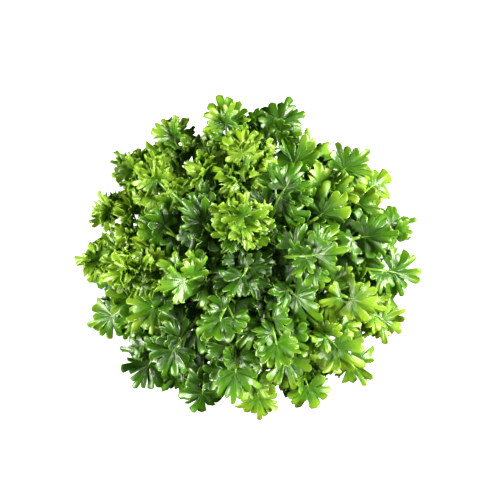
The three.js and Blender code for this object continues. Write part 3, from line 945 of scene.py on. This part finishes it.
def add_extras(number, frond, tree):
    """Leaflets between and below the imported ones, each in the first way that is clear of all others."""
    fresh = np.full((1, 3), FAR_AWAY)
    for place, plan in enumerate(EXTRAS):
        if frond.layer < plan.shallowest:
            continue
        rng = np.random.default_rng(EXTRA_SEED + 100 * number + place)
        traits = SimpleNamespace(
            swing=rng.uniform(*EXTRA_STRAY.swing),
            lift=plan.lift + rng.uniform(*EXTRA_STRAY.lift),
            roll=rng.uniform(*EXTRA_STRAY.roll),
            size=rng.uniform(*EXTRA_STRAY.size),
            droop=EXTRA_STRAY.droop,
            lobes=stray_lobes(rng),
        )
        for way in EXTRA_WAYS:
            origin, axes = seat(frond, plan, traits, way)
            points = coarse_points(plan, traits, way.size * traits.size) @ axes.T + origin
            if min(points[:, 2]) < LOWEST_EXTRA:
                continue
            if any(tree.find(point)[2] < EXTRA_CLEARANCE for point in points):
                continue
            if np.min(np.linalg.norm(points[:, None] - fresh[None], axis=2)) < EXTRA_CLEARANCE:
                continue
            detail = FINE if plan.along > FINE_FROM else PLAIN
            grow_leaflet(frond, plan, traits, way, rng, detail, ROSETTE[:1])
            fresh = np.concatenate([fresh, frond.crowd[-1]])
            break


def grow_frond(number, frond):
    """A frond's fine stem and leaflets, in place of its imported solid."""
    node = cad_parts[f"frond_{frond.name}"]
    tree = tree_of([(node.matrix_world @ vertex.co) / MM for vertex in node.data.vertices])
    frond.sheet = Sheet()
    frond.crowd = []
    stem_tube(frond.sheet, frond)
    for place, plan in enumerate(LEAFLETS):
        if frond.layer > plan.deepest:
            continue
        seed = 1000 * (number + 1) + place
        traits = traits_of(seed, plan.lobes)
        way = find_way(frond, plan, traits, tree)
        if way:
            grow_leaflet(frond, plan, traits, way, np.random.default_rng(seed), FINE, ROSETTE)


def frond_piece(frond, material):
    piece = frond.sheet.make(f"{frond.name}_leaves", material)
    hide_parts(f"frond_{frond.name}")
    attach(piece, "root")


def bundle_reach(fronds, angle):
    """How far from the middle a band lies that is stretched round the straight stems."""
    turns = np.radians(np.arange(0, 360, 2))
    slots = np.array([frond.slot for frond in fronds])
    reaches = (slots @ np.array([np.cos(turns), np.sin(turns)])).max(axis=0) + NECK_RADIUS
    facing = np.cos(angle - turns)
    ahead = facing > LEAST_FACING
    return np.min(reaches[ahead] / facing[ahead])


def rounded(values):
    """A circle's coordinate, moved out so that the circle becomes a rounded square."""
    return np.sign(values) * np.abs(values) ** BAND_ROUNDING


def band_piece(fronds, material):
    """The rubber band's three rounded turns, one on another, stretched round the stems."""
    sheet = Sheet()
    corners = np.arange(BAND_SIDES) * 2 * math.pi / BAND_SIDES
    across = rounded(np.cos(corners)) * BAND_THICKNESS / 2
    tall = rounded(np.sin(corners)) * (BAND_TURN_HEIGHT - TURN_GAP) / 2
    for turn in range(BAND_TURNS):
        phase = np.random.default_rng(BAND_SEED + turn).uniform(0, 2 * math.pi, 2)
        middle = BAND_HEIGHT + (turn - (BAND_TURNS - 1) / 2) * BAND_TURN_HEIGHT
        rings = []
        for step in range(BAND_STEPS):
            angle = 2 * math.pi * step / BAND_STEPS
            radius = bundle_reach(fronds, angle) + STEM_GAP + BAND_THICKNESS / 2
            radius += BAND_WOBBLE[0] * math.sin(2 * angle + phase[0])
            height = middle + BAND_WOBBLE[1] * math.sin(3 * angle + phase[1])
            out = np.array([math.cos(angle), math.sin(angle), 0])
            rings.append(np.outer(radius + across, out) + np.outer(height + tall, UP))
        quads = grid_faces(BAND_STEPS + 1, BAND_SIDES, around=True)[:, ::-1]
        sheet.add(np.concatenate(rings), [quads % (BAND_STEPS * BAND_SIDES)])
    piece = sheet.make("rubber_band_turns", material)
    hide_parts("rubber_band")
    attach(piece, "root")


# ---- materials


class Shading:
    """A new material's nodes, added one by one. A value is a number, a colour or another node's output."""

    def __init__(self, name):
        self.material = bpy.data.materials.new(name)
        self.material.use_nodes = True
        self.nodes = self.material.node_tree.nodes
        self.nodes.clear()
        self.coordinates = self.node("ShaderNodeTexCoord").outputs["Object"]

    def node(self, kind, **settings):
        made = self.nodes.new(kind)
        for name, value in settings.items():
            setattr(made, name, value)
        return made

    def feed(self, socket, value):
        if isinstance(value, bpy.types.NodeSocket):
            self.material.node_tree.links.new(value, socket)
        elif isinstance(value, tuple):
            socket.default_value = (*value, 1)
        else:
            socket.default_value = value

    def attribute(self, name):
        return self.node("ShaderNodeAttribute", attribute_name=name).outputs["Fac"]

    def height(self):
        made = self.node("ShaderNodeSeparateXYZ")
        self.feed(made.inputs[0], self.coordinates)
        return made.outputs["Z"]

    def ramp(self, value, low, high, out_low=0.0, out_high=1.0):
        made = self.node("ShaderNodeMapRange", interpolation_type="SMOOTHSTEP")
        for socket, number in zip(made.inputs, (value, low, high, out_low, out_high)):
            self.feed(socket, number)
        return made.outputs["Result"]

    def mix(self, factor, a, b, blend_type="MIX"):
        made = self.node("ShaderNodeMix", data_type="RGBA", blend_type=blend_type)
        self.feed(made.inputs[0], factor)
        self.feed(made.inputs[6], a)
        self.feed(made.inputs[7], b)
        return made.outputs[2]

    def maths(self, operation, *values):
        made = self.node("ShaderNodeMath", operation=operation)
        for socket, value in zip(made.inputs, values):
            self.feed(socket, value)
        return made.outputs[0]

    def noise(self, scale, detail=3.0, stretch=None):
        made = self.node("ShaderNodeTexNoise")
        place = self.coordinates
        if stretch:
            mapping = self.node("ShaderNodeMapping")
            mapping.inputs["Scale"].default_value = stretch
            self.feed(mapping.inputs["Vector"], place)
            place = mapping.outputs[0]
        self.feed(made.inputs["Vector"], place)
        self.feed(made.inputs["Scale"], scale)
        self.feed(made.inputs["Detail"], detail)
        return made.outputs["Fac"]

    def bump(self, height, strength, distance):
        made = self.node("ShaderNodeBump")
        for label, value in (("Height", height), ("Strength", strength), ("Distance", distance)):
            self.feed(made.inputs[label], value)
        return made.outputs["Normal"]

    def surface(self, **values):
        made = self.node("ShaderNodeBsdfPrincipled")
        for label, value in values.items():
            self.feed(made.inputs[label.replace("_", " ")], value)
        return made.outputs[0]

    def finish(self, shader):
        self.feed(self.node("ShaderNodeOutputMaterial").inputs["Surface"], shader)
        return self.material


def leaf_material():
    """Parsley's blades and stems: paler when young and underneath, with forked veins. Painted shade darkens
    them deep in the crown and towards each palm, and a painted highlight makes the rim paler.
    """
    made = Shading("parsley_leaf")
    rim, vein, reach, along, stalk, youth, tint, under = map(made.attribute, Sheet.NAMES)
    # The youth attribute holds each frond's own age, lowered by painted shade for leaflets deep in the crown.
    youth = made.maths("ADD", youth, made.maths("MULTIPLY_ADD", tint, 0.4, -0.2))
    youth = made.maths("ADD", youth, made.maths("MULTIPLY_ADD", made.noise(90), 0.5, -0.25))
    # Darker towards each blade's palm, which is painted shade, and paler towards its finger tips.
    youth = made.maths("ADD", youth, made.ramp(reach, 0.1, 0.8, -0.3, 0.14))
    green = made.mix(made.ramp(youth, -0.05, 0.5), LEAF.deep, LEAF.grown)
    green = made.mix(made.ramp(youth, 0.4, 1.0), green, LEAF.young)
    # The paler rim is a painted highlight, standing in for the light that the leaf margins catch.
    green = made.mix(made.ramp(rim, 0.05, 0.42, 0.4, 0.0), green, LEAF.rim)

    middle = made.ramp(vein, 0.1, 0.3, 1.0, 0.0)
    fork = made.maths("MULTIPLY", made.maths("MULTIPLY_ADD", vein, -1.3, along), 3.4)
    forks = made.ramp(made.maths("ABSOLUTE", made.maths("SINE", fork)), 0.0, 0.2, 0.45, 0.0)
    fading = made.ramp(reach, 0.05, 0.95, 1.0, 0.2)
    veins = made.maths("MULTIPLY", made.maths("MAXIMUM", middle, forks), fading)
    green = made.mix(made.maths("MULTIPLY", veins, 0.22), green, LEAF.vein)
    green = made.mix(made.maths("MULTIPLY", under, 0.45), green, LEAF.underside)

    stem = made.mix(made.noise(260, stretch=(1, 1, 0.15)), LEAF.stem, LEAF.stem_streak)
    stem = made.mix(made.ramp(made.height(), 0.0002, 0.0012, 0.8, 0.0), stem, LEAF.stem_cut)
    colour = made.mix(stalk, green, stem)

    grain = made.maths("MULTIPLY", made.noise(1500, 4.0), 0.18)
    relief = made.maths("MULTIPLY_ADD", made.noise(420, 2.0), 0.7, grain)
    normal = made.bump(made.maths("MULTIPLY_ADD", veins, -0.6, relief), 0.4, 0.0004)
    gloss = made.ramp(made.noise(300), 0.3, 0.7, 0.27, 0.41)
    face = made.surface(
        Base_Color=colour,
        Roughness=made.maths("MULTIPLY_ADD", under, 0.2, gloss),
        IOR=1.5,
        Specular_IOR_Level=0.7,
        Specular_Tint=LEAF.shine,
        Normal=normal,
    )
    glow = made.node("ShaderNodeBsdfTranslucent")
    made.feed(glow.inputs["Color"], made.mix(1.0, colour, LEAF.light_let_through, "MULTIPLY"))
    made.feed(glow.inputs["Normal"], normal)
    both = made.node("ShaderNodeMixShader")
    for socket, value in zip(both.inputs, (TRANSLUCENT_SHARE, face, glow.outputs[0])):
        made.feed(socket, value)
    return made.finish(both.outputs[0])


def band_material():
    """Natural rubber: tan, cloudy and finely streaked, with a dull shine and a dusty bloom."""
    made = Shading("band_rubber")
    clouds = made.noise(120, 4.0)
    streaks = made.noise(500, 3.0, stretch=(0.12, 0.12, 4))
    colour = made.mix(made.ramp(clouds, 0.3, 0.7), RUBBER.brown, RUBBER.tan)
    colour = made.mix(made.ramp(streaks, 0.45, 0.75, 0.0, 0.5), colour, RUBBER.streak)
    colour = made.mix(made.ramp(made.noise(900, 2.0), 0.55, 0.8, 0.0, 0.35), colour, RUBBER.bloom)
    relief = made.maths("MULTIPLY_ADD", streaks, 0.6, made.maths("MULTIPLY", made.noise(2500, 3.0), 0.4))
    face = made.surface(
        Base_Color=colour,
        Roughness=made.ramp(clouds, 0.25, 0.75, 0.42, 0.62),
        Specular_IOR_Level=0.4,
        Normal=made.bump(relief, 0.5, 0.0003),
    )
    return made.finish(face)


def floor_material():
    """Plain white that lights nothing else."""
    made = Shading("floor_white")
    grey = made.ramp(made.noise(3), 0.0, 1.0, 0.29, 0.31)
    white = (1.0, 1.0, 1.0)
    face = made.surface(Base_Color=grey, Roughness=0.9, Emission_Color=white, Emission_Strength=1.0)
    return made.finish(face)


# ---- stage


def make_stage():
    mesh = bpy.data.meshes.new("floor")
    corners = [(x * FLOOR_REACH, y * FLOOR_REACH, 0) for x, y in ((-1, -1), (1, -1), (1, 1), (-1, 1))]
    mesh.from_pydata(corners, [], [(0, 1, 2, 3)])
    floor = bpy.data.objects.new("floor", mesh)
    bpy.context.scene.collection.objects.link(floor)
    floor.data.materials.append(floor_material())
    floor.visible_diffuse = False
    floor.visible_glossy = False

    world = bpy.data.worlds.new("studio")
    bpy.context.scene.world = world
    world.use_nodes = True
    background = world.node_tree.nodes["Background"]
    background.inputs["Color"].default_value = SKY
    background.inputs["Strength"].default_value = SKY_STRENGTH


def area_light(name, place, target, size, power):
    light = bpy.data.lights.new(name, "AREA")
    light.size = size
    light.energy = power
    lamp = bpy.data.objects.new(name, light)
    lamp.location = place
    lamp.rotation_euler = (Vector(target) - Vector(place)).to_track_quat("-Z", "Y").to_euler()
    bpy.context.scene.collection.objects.link(lamp)


def make_camera():
    """Straight above the crown, with the photo's top towards +Y."""
    camera = bpy.data.cameras.new("camera")
    camera.sensor_width = SENSOR
    camera.lens = SENSOR * CAMERA_DISTANCE / (PHOTO_SIZE * MM_PER_PIXEL)
    eye = bpy.data.objects.new("camera", camera)
    x = (PHOTO_SIZE / 2 - CROWN_PIXEL[0]) * MM_PER_PIXEL
    y = (CROWN_PIXEL[1] - PHOTO_SIZE / 2) * MM_PER_PIXEL
    eye.location = (x * MM, y * MM, (CROWN_MIDDLE + CAMERA_DISTANCE) * MM)
    bpy.context.scene.collection.objects.link(eye)
    bpy.context.scene.camera = eye


fronds = frond_list()
settle_stems(fronds)
for frond in fronds:
    place_hub(frond)
bend_stems(fronds)

leaf = leaf_material()
for number, frond in enumerate(fronds):
    grow_frond(number, frond)
for number, frond in enumerate(fronds):
    add_extras(number, frond, tree_of(np.concatenate([points for each in fronds for points in each.crowd])))
for frond in fronds:
    frond_piece(frond, leaf)
band_piece(fronds, band_material())

make_stage()
for name, (place, target, size, power) in LAMPS.items():
    area_light(name, place, target, size, power)
make_camera()
bpy.context.scene.view_settings.view_transform = "Standard"
